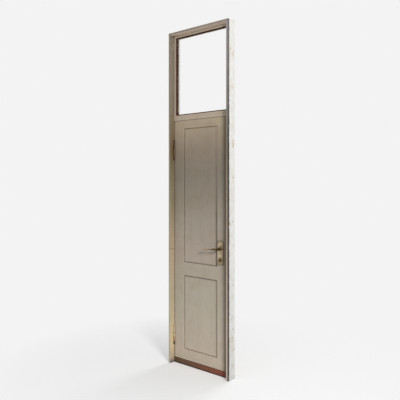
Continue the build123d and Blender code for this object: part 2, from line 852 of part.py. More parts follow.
for label in ("front_backplate", "rear_backplate"):
    with BuildPart() as backplate:
        with BuildSketch(front_plane(face_y)):
            with BuildLine():
                ThreePointArc(top_left, (handle_x, plate_top), top_right)
                Line(top_right, foot_right)
                ThreePointArc(foot_right, (handle_x, plate_foot), foot_left)
                Line(foot_left, top_left)
            make_face()
        extrude(amount=plate_thickness)
        chamfer(backplate.faces().sort_by(Axis.Y)[0].edges(), plate_edge_chamfer)
        for z, radius, height, hole in plate_holes:
            rod((handle_x, plate_y, z), (0, -1, 0), radius, height)
            rod((handle_x, face_y, z), (0, -1, 0), hole, plate_thickness + height, Mode.SUBTRACT)
        for x, z in plate_screws:
            screw_seat((x, plate_y, z), (0, 1, 0), plate_thickness)
        if label == "rear_backplate":
            mirror(about=Plane.XZ, mode=Mode.REPLACE)
    save(backplate, label)

with BuildPart() as front_plate_screws:
    for x, z in plate_screws:
        screw((x, plate_y, z), (0, 1, 0), plate_screw_length)
save(front_plate_screws, "front_plate_screws")

with BuildPart() as rear_plate_screws:
    for x, z in plate_screws:
        screw((x, -plate_y, z), (0, -1, 0), plate_screw_length)
save(rear_plate_screws, "rear_plate_screws")


# Key cylinder: a fixed barrel each side of the case, one plug right through, and its cam
cylinder_y = plate_y - cylinder_stand
for label, start, end in (
    ("front_cylinder", cylinder_y, case_front_y),
    ("rear_cylinder", case_back_y, -cylinder_y),
):
    with BuildPart() as cylinder:
        rod((handle_x, start, key_z), (0, 1, 0), cylinder_radius, end - start)
        plug_bore = plug_radius + turning_play
        rod((handle_x, start, key_z), (0, 1, 0), plug_bore, end - start, Mode.SUBTRACT)
    save(cylinder, label)

with BuildPart() as cylinder_plug:
    plug_y = cylinder_y - plug_stand
    rod((handle_x, plug_y, key_z), (0, 1, 0), plug_radius, -2 * plug_y)
    slot_x = (handle_x - key_slot_width / 2, handle_x + key_slot_width / 2)
    slot_z = (key_z - key_slot_height / 2, key_z + key_slot_height / 2)
    block(slot_x, (plug_y, plug_y + key_slot_depth), slot_z, Mode.SUBTRACT)
    block(slot_x, (-plug_y - key_slot_depth, -plug_y), slot_z, Mode.SUBTRACT)
save(cylinder_plug, "cylinder_plug")

with BuildPart() as lock_cam:
    cam_back = (handle_x, lock_plane_y + cam_thickness / 2, key_z)
    rod(cam_back, (0, -1, 0), cam_radius, cam_thickness)
    finger_plane = Plane(origin=cam_back, x_dir=(cos(cam_swing), 0, sin(cam_swing)), z_dir=(0, -1, 0))
    with BuildSketch(finger_plane):
        Rectangle(cam_finger_width, cam_finger_reach, align=(Align.CENTER, Align.MIN))
    extrude(amount=cam_thickness)
    rod(cam_back, (0, -1, 0), plug_radius + cam_seat_play, cam_thickness, Mode.SUBTRACT)
save(lock_cam, "lock_cam")


# Strike plate in the lock jamb, with a lip that leads the latch in
with BuildPart() as strike_plate:
    block(strike_x, strike_y, (strike_foot, strike_top))
    block(strike_x, lip_y_range, lip_z)
    for middle, height in ((latch_z, latch_height), (bolt_z, bolt_height)):
        mouth_z = (middle - height / 2 - pocket_play, middle + height / 2 + pocket_play)
        mouth_y = (lock_plane_y - cavity_half - pocket_play, lock_plane_y + cavity_half + pocket_play)
        block(strike_x, mouth_y, mouth_z, Mode.SUBTRACT)
    for centre in strike_screws:
        screw_seat(centre, (1, 0, 0), plate_screw_length)
save(strike_plate, "strike_plate")

with BuildPart() as strike_screw_pair:
    for centre in strike_screws:
        screw(centre, (1, 0, 0), plate_screw_length)
save(strike_screw_pair, "strike_screws")
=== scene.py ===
"""The looks of a painted timber door in its frame, with a clear glass light above the leaf."""

from math import radians

import bpy
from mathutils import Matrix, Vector


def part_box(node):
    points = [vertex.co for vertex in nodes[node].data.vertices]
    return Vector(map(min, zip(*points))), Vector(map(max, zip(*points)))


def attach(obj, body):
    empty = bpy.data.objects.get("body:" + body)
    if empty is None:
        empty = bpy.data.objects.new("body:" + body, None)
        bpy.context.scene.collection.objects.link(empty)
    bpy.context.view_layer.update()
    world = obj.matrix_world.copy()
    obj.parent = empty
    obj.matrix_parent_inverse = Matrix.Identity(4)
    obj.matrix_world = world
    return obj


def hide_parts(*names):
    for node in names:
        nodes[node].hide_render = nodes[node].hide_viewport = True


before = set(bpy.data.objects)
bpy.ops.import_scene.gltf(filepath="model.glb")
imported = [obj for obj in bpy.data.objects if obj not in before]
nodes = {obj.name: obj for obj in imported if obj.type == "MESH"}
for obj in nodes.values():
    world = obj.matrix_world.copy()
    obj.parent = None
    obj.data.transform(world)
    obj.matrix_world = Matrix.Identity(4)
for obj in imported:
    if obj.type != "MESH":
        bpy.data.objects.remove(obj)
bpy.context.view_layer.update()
bpy.ops.object.select_all(action="DESELECT")

# Camera: level, at the photograph's angle, with the small shift its framing needs
camera_data = bpy.data.cameras.new("door_camera")
camera_data.lens = 50
camera_data.sensor_width = 36
camera_data.shift_y = -0.047
camera = bpy.data.objects.new("door_camera", camera_data)
camera.location = (3.1669, -3.3834, 1.5717)
camera.rotation_euler = (radians(90), 0, radians(43.336))
bpy.context.scene.collection.objects.link(camera)
bpy.context.scene.camera = camera
bpy.context.scene.view_settings.view_transform = "Standard"

# Places on the door's own pieces that the finishes share, in metres
jamb_inner_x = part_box("lock_jamb")[0][0]
jamb_outer_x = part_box("lock_jamb")[1][0]
jamb_front_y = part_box("lock_jamb")[0][1]
head_underside_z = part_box("frame_head")[0][2]
head_top_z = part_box("frame_head")[1][2]
stile_edge_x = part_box("hinge_stile")[0][0]

# How far a panel's tongue runs into its groove, so that far inside its box it comes into view
panel_tongue = 0.009

# A point within 0.2 mm of a face lies on it, and one 0.8 mm away doesn't
on_face, off_face = 0.0002, 0.0008

# Where age has marked the door, and where shade is painted on it: heights, places and reaches, in
# metres
old_notch_z = 0.987
rusty_below_z, grimy_shaded_above_z = 0.26, 0.34
hand_place, hand_reach = (0.24, 1.0), (0.09, 0.2)
jamb_shadow_from_x, jamb_shadow_to_x = 0.248, 0.266
plaster_from_y, plaster_to_y = -0.0430, -0.0400
arris_dirt_and_shade_reach, arris_dirt_and_shade_solid = 0.011, 0.005
tarnished_from_tip, rubbed_highlit_from_tip = 0.12, 0.04
brown_ring_reach = 0.033

# The paint's tones are given over this height, and bend up and down by half of this sway
tones_span = 3
tones_sway = 0.2


def axis_of(name):
    """Where the middle of a node lies in the XZ plane."""
    low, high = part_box(name)
    return (low[0] + high[0]) / 2, (low[2] + high[2]) / 2


lever_axis = axis_of("spindle")
plug_axis = axis_of("cylinder_plug")


def srgb(code):
    """The linear colour of an sRGB hex code such as #A09484."""
    channels = [int(code[n : n + 2], 16) / 255 for n in (1, 3, 5)]
    linear = [c / 12.92 if c <= 0.04045 else ((c + 0.055) / 1.055) ** 2.4 for c in channels]
    return (*linear, 1)


def add_node(tree, kind, inputs=None, stops=None, **settings):
    """Add a node with its settings, and set its sockets to values or link them to other sockets."""
    node = tree.nodes.new(kind)
    for name, value in settings.items():
        setattr(node, name, value)
    for n, (position, code) in enumerate(stops or ()):
        steps = node.color_ramp.elements
        step = steps[n] if n < 2 else steps.new(position)
        step.position = position
        step.color = srgb(code)
    for socket, value in (inputs or {}).items():
        if isinstance(value, bpy.types.NodeSocket):
            tree.links.new(value, node.inputs[socket])
        else:
            node.inputs[socket].default_value = value
    return node


def new_material(name):
    """A material that holds only its output and a principled shader."""
    material = bpy.data.materials.new(name)
    material.use_nodes = True
    tree = material.node_tree
    tree.nodes.clear()
    shader = add_node(tree, "ShaderNodeBsdfPrincipled")
    add_node(tree, "ShaderNodeOutputMaterial", {"Surface": shader.outputs[0]})
    return material, tree, shader


def by_height(tones):
    """Turn heights above the floor in metres into places on a ramp that spans them all."""
    return [(height / tones_span, code) for height, code in tones]


def wear_mask(tree, split, centre, reach, ragged):
    """Where hands or keys touch: 1 at a point of the XZ plane, 0 at an uneven reach round it."""
    across = add_node(
        tree, "ShaderNodeMath", {0: split.outputs["X"], 1: centre[0]}, operation="SUBTRACT"
    )
    across = add_node(
        tree, "ShaderNodeMath", {0: across.outputs[0], 1: reach[0]}, operation="DIVIDE"
    )
    up = add_node(
        tree, "ShaderNodeMath", {0: split.outputs["Z"], 1: centre[1]}, operation="SUBTRACT"
    )
    up = add_node(tree, "ShaderNodeMath", {0: up.outputs[0], 1: reach[1]}, operation="DIVIDE")
    offset = add_node(tree, "ShaderNodeCombineXYZ", {0: across.outputs[0], 1: up.outputs[0]})
    away = add_node(tree, "ShaderNodeVectorMath", {0: offset.outputs[0]}, operation="LENGTH")
    uneven = add_node(
        tree,
        "ShaderNodeMath",
        {0: ragged, 1: 0.8, 2: away.outputs["Value"]},
        operation="MULTIPLY_ADD",
    )
    mask = add_node(
        tree,
        "ShaderNodeMapRange",
        {"Value": uneven.outputs[0], "From Min": 0.5, "From Max": 1.5, "To Min": 1, "To Max": 0},
    )
    return mask.outputs[0]


def groove_dirt_and_shade_mask(tree, split, panel, sides):
    """The grime and painted shade in the groove round a panel: a strength and a reach for each of
    its four sides.
    """
    low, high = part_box(panel)
    left, right = low[0] + panel_tongue, high[0] - panel_tongue
    foot, top = low[2] + panel_tongue, high[2] - panel_tongue
    lines = (("X", left, 1), ("X", right, -1), ("Z", foot, 1), ("Z", top, -1))
    total = None
    for (axis, edge, inwards), (strength, reach) in zip(lines, sides):
        # Grime and painted shade are solid next to the edge, and fade over the last 3 mm of their
        # reach
        depth = add_node(
            tree, "ShaderNodeMath", {0: split.outputs[axis], 1: edge}, operation="SUBTRACT"
        )
        depth = add_node(
            tree, "ShaderNodeMath", {0: depth.outputs[0], 1: inwards}, operation="MULTIPLY"
        )
        line = add_node(
            tree,
            "ShaderNodeMapRange",
            {
                "Value": depth.outputs[0],
                "From Min": reach - 0.003,
                "From Max": reach,
                "To Min": strength,
                "To Max": 0,
            },
        )
        if total:
            line = add_node(
                tree, "ShaderNodeMath", {0: total, 1: line.outputs[0]}, operation="MAXIMUM"
            )
        total = line.outputs[0]
    # Above 1.3 m it thins, to about half at 1.8 m and above
    reached = add_node(
        tree,
        "ShaderNodeMapRange",
        {
            "Value": split.outputs["Z"],
            "From Min": 1.3,
            "From Max": 1.8,
            "To Min": 1,
            "To Max": 0.45,
        },
    )
    return add_node(
        tree, "ShaderNodeMath", {0: total, 1: reached.outputs[0]}, operation="MULTIPLY"
    ).outputs[0]


# Oil paint over old softwood: brushed along the board, so its film shows fine ridges that follow
# the grain, patches where it has yellowed, and small darker nicks down to an older coat. A finish
# takes the node tree, the place as X, Y and Z, the height on the ramp, the broad unevenness and
# the colour so far, and gives back the colour with its own marks of age, and painted light and
# shade
def brushed_oil_paint(name, tones, along, finish=None):
    material, tree, shader = new_material(name)
    place = add_node(tree, "ShaderNodeTexCoord").outputs["Object"]
    split = add_node(tree, "ShaderNodeSeparateXYZ", {0: place})
    # Broad unevenness, about 300 mm across, also bends the height at which the tone changes
    cloud = add_node(
        tree, "ShaderNodeTexNoise", {"Vector": place, "Scale": 3.3, "Detail": 4, "Roughness": 0.55}
    )
    height = add_node(
        tree,
        "ShaderNodeMath",
        {0: cloud.outputs["Fac"], 1: tones_sway, 2: split.outputs["Z"]},
        operation="MULTIPLY_ADD",
    )
    height = add_node(
        tree,
        "ShaderNodeMapRange",
        {
            "Value": height.outputs[0],
            "From Min": tones_sway / 2,
            "From Max": tones_span + tones_sway / 2,
        },
    )
    colour = add_node(
        tree, "ShaderNodeValToRGB", {"Fac": height.outputs[0]}, stops=by_height(tones)
    ).outputs[0]
    if finish:
        colour = finish(tree, split, height.outputs[0], cloud.outputs["Fac"], colour)
    # Brush marks are 1.5 mm apart and run about 70 mm; they are drawn 4 mm apart so that they show
    stretch = {"X": (14, 260, 260), "Z": (260, 260, 14)}[along]
    streaks = add_node(tree, "ShaderNodeMapping", {"Vector": place, "Scale": stretch})
    brush = add_node(
        tree,
        "ShaderNodeTexNoise",
        {"Vector": streaks.outputs[0], "Scale": 1.0, "Detail": 3, "Roughness": 0.6},
    )
    streak = add_node(
        tree,
        "ShaderNodeMapRange",
        {
            "Value": brush.outputs["Fac"],
            "From Min": 0.3,
            "From Max": 0.7,
            "To Min": 0.955,
            "To Max": 1.045,
        },
    )
    # Laps of a 30 mm brush, drawn out along the board for some 800 mm
    stretch = {"X": (1.2, 34, 34), "Z": (34, 34, 1.2)}[along]
    strokes = add_node(tree, "ShaderNodeMapping", {"Vector": place, "Scale": stretch})
    laps = add_node(
        tree, "ShaderNodeTexNoise", {"Vector": strokes.outputs[0], "Scale": 1.0, "Detail": 2}
    )
    lap = add_node(
        tree,
        "ShaderNodeMapRange",
        {
            "Value": laps.outputs["Fac"],
            "From Min": 0.3,
            "From Max": 0.7,
            "To Min": 0.97,
            "To Max": 1.03,
        },
    )
    both = add_node(
        tree, "ShaderNodeMath", {0: streak.outputs[0], 1: lap.outputs[0]}, operation="MULTIPLY"
    )
    brushed = add_node(
        tree,
        "ShaderNodeMix",
        {0: 1.0, 6: colour, 7: both.outputs[0]},
        data_type="RGBA",
        blend_type="MULTIPLY",
    )
    # Yellowed and dusty patches, about 90 mm across
    patch = add_node(
        tree, "ShaderNodeTexNoise", {"Vector": place, "Scale": 11, "Detail": 5, "Roughness": 0.62}
    )
    stained = add_node(
        tree,
        "ShaderNodeMapRange",
        {
            "Value": patch.outputs["Fac"],
            "From Min": 0.46,
            "From Max": 0.75,
            "To Min": 0.0,
            "To Max": 0.35,
        },
    )
    patched = add_node(
        tree,
        "ShaderNodeMix",
        {0: stained.outputs[0], 6: brushed.outputs[2], 7: srgb("#E9DDC6")},
        data_type="RGBA",
        blend_type="MULTIPLY",
    )
    # Nicks of 4 to 7 mm, sparse, where the broad unevenness lets them through
    pits = add_node(tree, "ShaderNodeTexVoronoi", {"Vector": place, "Scale": 26, "Randomness": 1.0})
    chip = add_node(
        tree,
        "ShaderNodeMapRange",
        {
            "Value": pits.outputs["Distance"],
            "From Min": 0.05,
            "From Max": 0.09,
            "To Min": 1.0,
            "To Max": 0.0,
        },
    )
    worn_zone = add_node(
        tree,
        "ShaderNodeMapRange",
        {
            "Value": cloud.outputs["Fac"],
            "From Min": 0.52,
            "From Max": 0.62,
            "To Min": 0.0,
            "To Max": 0.7,
        },
    )
    nicks = add_node(
        tree, "ShaderNodeMath", {0: chip.outputs[0], 1: worn_zone.outputs[0]}, operation="MULTIPLY"
    )
    nicked = add_node(
        tree,
        "ShaderNodeMix",
        {0: nicks.outputs[0], 6: patched.outputs[2], 7: srgb("#5F5140")},
        data_type="RGBA",
    )
    tree.links.new(nicked.outputs[2], shader.inputs["Base Color"])
    gloss = add_node(
        tree,
        "ShaderNodeMapRange",
        {
            "Value": patch.outputs["Fac"],
            "From Min": 0.3,
            "From Max": 0.7,
            "To Min": 0.42,
            "To Max": 0.62,
        },
    )
    tree.links.new(gloss.outputs[0], shader.inputs["Roughness"])
    ridges = add_node(
        tree,
        "ShaderNodeBump",
        {"Strength": 0.35, "Distance": 0.0004, "Height": brush.outputs["Fac"]},
    )
    dents = add_node(
        tree,
        "ShaderNodeBump",
        {
            "Strength": 0.5,
            "Distance": 0.0006,
            "Height": nicks.outputs[0],
            "Normal": ridges.outputs[0],
        },
        invert=True,
    )
    tree.links.new(dents.outputs[0], shader.inputs["Normal"])
    shader.inputs["IOR"].default_value = 1.5
    shader.inputs["Specular IOR Level"].default_value = 0.35
    return material


# Tones of the paint at heights above the floor in metres: pale low down, darkest at head height.
# Besides the paint's own colour they hold painted light and shade: the floor's glow low, shade
# above
leaf_tones = (
    (0.1, "#BFB19F"),
    (0.25, "#B7AB9B"),
    (0.58, "#A8A090"),
    (1.0, "#9E9285"),
    (1.22, "#92897C"),
    (1.42, "#837A6C"),
    (1.62, "#787063"),
    (1.83, "#7E7264"),
    (2.05, "#9A8C77"),
)
hinge_jamb_tones = (
    (0.0, "#625B5A"),
    (0.035, "#AC9982"),
    (0.16, "#C3B28D"),
    (0.55, "#A69A81"),
    (1.0, "#9C8C76"),
    (1.4, "#776D58"),
    (1.7, "#655B46"),
    (1.85, "#5B4A35"),
    (2.0, "#665A47"),
    (2.45, "#6A6054"),
)
hinge_jamb_front_tones = ((0.2, "#B0AA98"), (1.4, "#857D6C"), (2.45, "#756D60"))
lock_jamb_tones = ((0.3, "#B8AA98"), (1.0, "#9C8F7F"), (1.8, "#766D5C"), (2.5, "#857F79"))
lock_jamb_front_tones = ((0.32, "#C5B5A6"), (1.03, "#A79889"), (1.82, "#756D5C"), (2.52, "#8E8A88"))
proud_edge_dirt_and_shade_tones = ((0.32, "#403933"), (1.03, "#3A332C"), (1.82, "#241F1A"), (2.52, "#534F4E"))
head_tones = ((0.0, "#80756A"), (3.0, "#80756A"))
bar_tones = ((0.0, "#A29483"), (3.0, "#A29483"))
filler_tones = ((0.0, "#A2968A"), (3.0, "#988B7A"))


def buried_side(tree, split, height, paint):
    """Outer faces once set in a wall: a dark proud edge, partly painted shade, then plaster on bare
    wood.
    """
    reach = add_node(tree, "ShaderNodeMath", {0: split.outputs["X"]}, operation="ABSOLUTE")
    reach = add_node(
        tree, "ShaderNodeMath", {0: reach.outputs[0], 1: jamb_outer_x}, operation="SUBTRACT"
    )
    rise = add_node(
        tree, "ShaderNodeMath", {0: split.outputs["Z"], 1: head_top_z}, operation="SUBTRACT"
    )
    reach = add_node(
        tree, "ShaderNodeMath", {0: reach.outputs[0], 1: rise.outputs[0]}, operation="MAXIMUM"
    )
    side = add_node(
        tree,
        "ShaderNodeMapRange",
        {"Value": reach.outputs[0], "From Min": -off_face, "From Max": -on_face},
    )
    # The dark edge is dirt and painted shade, darkest at head height
    grime_and_shade = add_node(tree, "ShaderNodeValToRGB", {"Fac": height}, stops=by_height(proud_edge_dirt_and_shade_tones))
    # The plaster line wanders by a few millimetres up the jamb
    place = add_node(tree, "ShaderNodeTexCoord").outputs["Object"]
    ragged = add_node(
        tree, "ShaderNodeTexNoise", {"Vector": place, "Scale": 28, "Detail": 4, "Roughness": 0.6}
    )
    line = add_node(
        tree,
        "ShaderNodeMath",
        {0: ragged.outputs["Fac"], 1: 0.012, 2: split.outputs["Y"]},
        operation="MULTIPLY_ADD",
    )
    inside = add_node(
        tree,
        "ShaderNodeMapRange",
        {"Value": line.outputs[0], "From Min": plaster_from_y, "From Max": plaster_to_y},
    )
    # Lime plaster clings in sheets some 50 mm wide, with bare pine between them
    bare = add_node(
        tree, "ShaderNodeTexNoise", {"Vector": place, "Scale": 19, "Detail": 6, "Roughness": 0.65}
    )
    residue = add_node(
        tree,
        "ShaderNodeValToRGB",
        {"Fac": bare.outputs["Fac"]},
        stops=((0.3, "#A8937A"), (0.4, "#BEBCB8"), (0.8, "#C9C8C5")),
    )
    wall = add_node(
        tree,
        "ShaderNodeMix",
        {0: inside.outputs[0], 6: grime_and_shade.outputs[0], 7: residue.outputs[0]},
        data_type="RGBA",
    )
    return add_node(
        tree, "ShaderNodeMix", {0: side.outputs[0], 6: paint, 7: wall.outputs[2]}, data_type="RGBA"
    ).outputs[2]


def front_edge(tree, split, height, colour, tones):
    """The narrow front face of a jamb has its own tones by height, which hold painted light and
    shade.
    """
    front = add_node(
        tree,
        "ShaderNodeMapRange",
        {
            "Value": split.outputs["Y"],
            "From Min": jamb_front_y + 0.0015,
            "From Max": jamb_front_y + on_face,
        },
    )
    rubbed = add_node(tree, "ShaderNodeValToRGB", {"Fac": height}, stops=by_height(tones))
    return add_node(
        tree,
        "ShaderNodeMix",
        {0: front.outputs[0], 6: colour, 7: rubbed.outputs[0]},
        data_type="RGBA",
    ).outputs[2]


def hinge_jamb_finish(tree, split, height, cloud, colour):
    colour = front_edge(tree, split, height, colour, hinge_jamb_front_tones)
    # An old notch, filled and painted over, shows as a thin line across the reveal at hand height
    notch = add_node(
        tree, "ShaderNodeMath", {0: split.outputs["Z"], 1: old_notch_z}, operation="SUBTRACT"
    )
    notch = add_node(tree, "ShaderNodeMath", {0: notch.outputs[0]}, operation="ABSOLUTE")
    notch = add_node(
        tree,
        "ShaderNodeMapRange",
        {
            "Value": notch.outputs[0],
            "From Min": 0.002,
            "From Max": 0.005,
            "To Min": 0.45,
            "To Max": 0,
        },
    )
    colour = add_node(
        tree,
        "ShaderNodeMix",
        {0: notch.outputs[0], 6: colour, 7: srgb("#5C4C38")},
        data_type="RGBA",
    ).outputs[2]
    return buried_side(tree, split, height, colour)


def lock_jamb_finish(tree, split, height, cloud, colour):
    colour = front_edge(tree, split, height, colour, lock_jamb_front_tones)
    # Dirt and painted shade darken the outer arris, where the plaster once met the front face
    arris = add_node(
        tree,
        "ShaderNodeMapRange",
        {
            "Value": split.outputs["X"],
            "From Min": jamb_outer_x - arris_dirt_and_shade_reach,
            "From Max": jamb_outer_x - arris_dirt_and_shade_solid,
            "To Max": 0.6,
        },
    )
    dirt_and_shade = add_node(tree, "ShaderNodeValToRGB", {"Fac": height}, stops=by_height(proud_edge_dirt_and_shade_tones))
    colour = add_node(
        tree,
        "ShaderNodeMix",
        {0: arris.outputs[0], 6: colour, 7: dirt_and_shade.outputs[0]},
        data_type="RGBA",
    ).outputs[2]
    return buried_side(tree, split, height, colour)


def head_finish(tree, split, height, cloud, colour):
    # The underside is painted pale: painted light that lifts the shade it lies in
    under = add_node(
        tree,
        "ShaderNodeMapRange",
        {
            "Value": split.outputs["Z"],
            "From Min": head_underside_z + off_face,
            "From Max": head_underside_z + on_face,
        },
    )
    colour = add_node(
        tree,
        "ShaderNodeMix",
        {0: under.outputs[0], 6: colour, 7: srgb("#CFBDAB")},
        data_type="RGBA",
    ).outputs[2]
    return buried_side(tree, split, height, colour)


def grimy_shaded_groove(panel, sides):
    """The finish of a panel with dirt and painted shade in its groove: a strength and a reach for
    each side.
    """

    def finish(tree, split, height, cloud, colour):
        dirt_and_shade = groove_dirt_and_shade_mask(tree, split, panel, sides)
        return add_node(
            tree, "ShaderNodeMix", {0: dirt_and_shade, 6: colour, 7: srgb("#4A3F33")}, data_type="RGBA"
        ).outputs[2]

    return finish


def outside_box(tree, split, low, high):
    """How far a point lies outside a box in the XZ plane, in metres: 0 or less inside it."""
    gaps = []
    for axis, near, far in (("X", low[0], high[0]), ("Z", low[2], high[2])):
        gap = add_node(
            tree,
            "ShaderNodeMath",
            {0: split.outputs[axis], 1: (near + far) / 2},
            operation="SUBTRACT",
        )
        gap = add_node(tree, "ShaderNodeMath", {0: gap.outputs[0]}, operation="ABSOLUTE")
        gap = add_node(
            tree, "ShaderNodeMath", {0: gap.outputs[0], 1: (far - near) / 2}, operation="SUBTRACT"
        )
        gaps.append(gap.outputs[0])
    return add_node(
        tree, "ShaderNodeMath", {0: gaps[0], 1: gaps[1]}, operation="MAXIMUM"
    ).outputs[0]


def lock_stile_finish(tree, split, height, cloud, colour):
    # Hands leave a brown bloom round the handle
    touched = wear_mask(tree, split, hand_place, hand_reach, cloud)
    touched = add_node(tree, "ShaderNodeMath", {0: touched, 1: 0.25}, operation="MULTIPLY")
    bloomed_and_shaded = add_node(
        tree,
        "ShaderNodeMix",
        {0: touched.outputs[0], 6: colour, 7: srgb("#B39A78")},
        data_type="RGBA",
        blend_type="MULTIPLY",
    )
    # A painted shadow of the lock jamb darkens the closing edge
    closing = add_node(
        tree,
        "ShaderNodeMapRange",
        {
            "Value": split.outputs["X"],
            "From Min": jamb_shadow_from_x,
            "From Max": jamb_shadow_to_x,
            "To Max": 0.62,
        },
    )
    bloomed_and_shaded = add_node(
        tree,
        "ShaderNodeMix",
        {0: closing.outputs[0], 6: bloomed_and_shaded.outputs[2], 7: srgb("#5E4529")},
        data_type="RGBA",
    )
    # Metal polish, dirt and painted shade lie in a dark rim against the plate, solid for 3 mm and
    # gone at 9 mm
    rim = outside_box(tree, split, *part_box("front_backplate"))
    rim = add_node(
        tree,
        "ShaderNodeMapRange",
        {"Value": rim, "From Min": 0.003, "From Max": 0.009, "To Min": 0.55, "To Max": 0},
    )
    return add_node(
        tree,
        "ShaderNodeMix",
        {0: rim.outputs[0], 6: bloomed_and_shaded.outputs[2], 7: srgb("#4E3A22")},
        data_type="RGBA",
    ).outputs[2]


def hinge_stile_finish(tree, split, height, cloud, colour):
    # Grime and painted shade lie along the joint with the jamb, and below the lower hinge rust has
    # darkened it
    edge = add_node(
        tree,
        "ShaderNodeMapRange",
        {
            "Value": split.outputs["X"],
            "From Min": stile_edge_x + 0.006,
            "From Max": stile_edge_x + 0.013,
            "To Min": 1,
            "To Max": 0,
        },
    )
    run = add_node(
        tree,
        "ShaderNodeMapRange",
        {
            "Value": split.outputs["Z"],
            "From Min": rusty_below_z,
            "From Max": grimy_shaded_above_z,
            "To Min": 0.8,
            "To Max": 0.5,
        },
    )
    grime_and_shade = add_node(
        tree, "ShaderNodeMath", {0: edge.outputs[0], 1: run.outputs[0]}, operation="MULTIPLY"
    )
    return add_node(
        tree,
        "ShaderNodeMix",
        {0: grime_and_shade.outputs[0], 6: colour, 7: srgb("#5F3F26")},
        data_type="RGBA",
    ).outputs[2]


def rusty_hinge_finish(tree, split, height, cloud, colour):
    # Rust has come through the paint in stains some 13 mm across, most of them at the hinge's foot
    foot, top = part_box("lower_hinge_pin")[0][2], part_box("lower_hinge_pin")[1][2]
    place = add_node(tree, "ShaderNodeTexCoord").outputs["Object"]
    spots = add_node(
        tree, "ShaderNodeTexNoise", {"Vector": place, "Scale": 75, "Detail": 4, "Roughness": 0.6}
    )
    low = add_node(
        tree,
        "ShaderNodeMapRange",
        {
            "Value": split.outputs["Z"],
            "From Min": foot,
            "From Max": top,
            "To Min": 0.16,
            "To Max": -0.04,
        },
    )
    stain = add_node(
        tree, "ShaderNodeMath", {0: spots.outputs["Fac"], 1: low.outputs[0]}, operation="ADD"
    )
    stain = add_node(
        tree,
        "ShaderNodeMapRange",
        {"Value": stain.outputs[0], "From Min": 0.54, "From Max": 0.66, "To Max": 0.85},
    )
    rusted = add_node(
        tree,
        "ShaderNodeMix",
        {0: stain.outputs[0], 6: colour, 7: srgb("#8A5A3A")},
        data_type="RGBA",
    )
    return rusted.outputs[2]


# Strength and reach of the grime and painted shade at the hinge side, lock side, foot and top of
# each panel
upper_groove_dirt_and_shade = ((0.45, 0.011), (0.85, 0.019), (0.0, 0.011), (0.0, 0.011))
lower_groove_dirt_and_shade = ((0.4, 0.011), (0.6, 0.017), (0.0, 0.011), (0.5, 0.012))

hinge_stile_paint = brushed_oil_paint("oil_paint_hinge_stile", leaf_tones, "Z", hinge_stile_finish)
lock_stile_paint = brushed_oil_paint("oil_paint_lock_stile", leaf_tones, "Z", lock_stile_finish)
rail_paint = brushed_oil_paint("oil_paint_rails", leaf_tones, "X")
upper_panel_paint = brushed_oil_paint(
    "oil_paint_upper_panel", leaf_tones, "Z", grimy_shaded_groove("upper_panel", upper_groove_dirt_and_shade)
)
lower_panel_paint = brushed_oil_paint(
    "oil_paint_lower_panel", leaf_tones, "Z", grimy_shaded_groove("lower_panel", lower_groove_dirt_and_shade)
)
hinge_jamb_paint = brushed_oil_paint(
    "oil_paint_hinge_jamb", hinge_jamb_tones, "Z", hinge_jamb_finish
)
lock_jamb_paint = brushed_oil_paint("oil_paint_lock_jamb", lock_jamb_tones, "Z", lock_jamb_finish)
head_paint = brushed_oil_paint("oil_paint_head", head_tones, "X", head_finish)
bar_paint = brushed_oil_paint("oil_paint_bar", bar_tones, "X")
filler_paint = brushed_oil_paint("oil_paint_filler", filler_tones, "Z")
stop_paint = brushed_oil_paint("oil_paint_stop", leaf_tones, "Z")
overpainted_hinge = brushed_oil_paint(
    "oil_paint_over_hinge", hinge_jamb_tones, "Z", rusty_hinge_finish
)


# Stained softwood: a thin dark oil stain that soaks in unevenly and leaves hardly any shine
def dark_stained_softwood(name, along):
    material, tree, shader = new_material(name)
    place = add_node(tree, "ShaderNodeTexCoord").outputs["Object"]
    # Growth lines 3 mm apart, drawn out along the bead
    stretch = {"X": (9, 330, 330), "Z": (330, 330, 9)}[along]
    lines = add_node(tree, "ShaderNodeMapping", {"Vector": place, "Scale": stretch})
    grain = add_node(
        tree,
        "ShaderNodeTexNoise",
        {"Vector": lines.outputs[0], "Scale": 1.0, "Detail": 5, "Roughness": 0.65},
    )
    tone = add_node(
        tree,
        "ShaderNodeValToRGB",
        {"Fac": grain.outputs["Fac"]},
        stops=((0.3, "#1A0903"), (0.7, "#3F1607")),
    )
    tree.links.new(tone.outputs[0], shader.inputs["Base Color"])
    shader.inputs["Roughness"].default_value = 0.75
    shader.inputs["Specular IOR Level"].default_value = 0.06
    ridges = add_node(
        tree,
        "ShaderNodeBump",
        {"Strength": 0.3, "Distance": 0.0003, "Height": grain.outputs["Fac"]},
    )
    tree.links.new(ridges.outputs[0], shader.inputs["Normal"])
    return material


bead_level = dark_stained_softwood("dark_stained_bead_level", "X")
bead_upright = dark_stained_softwood("dark_stained_bead_upright", "Z")


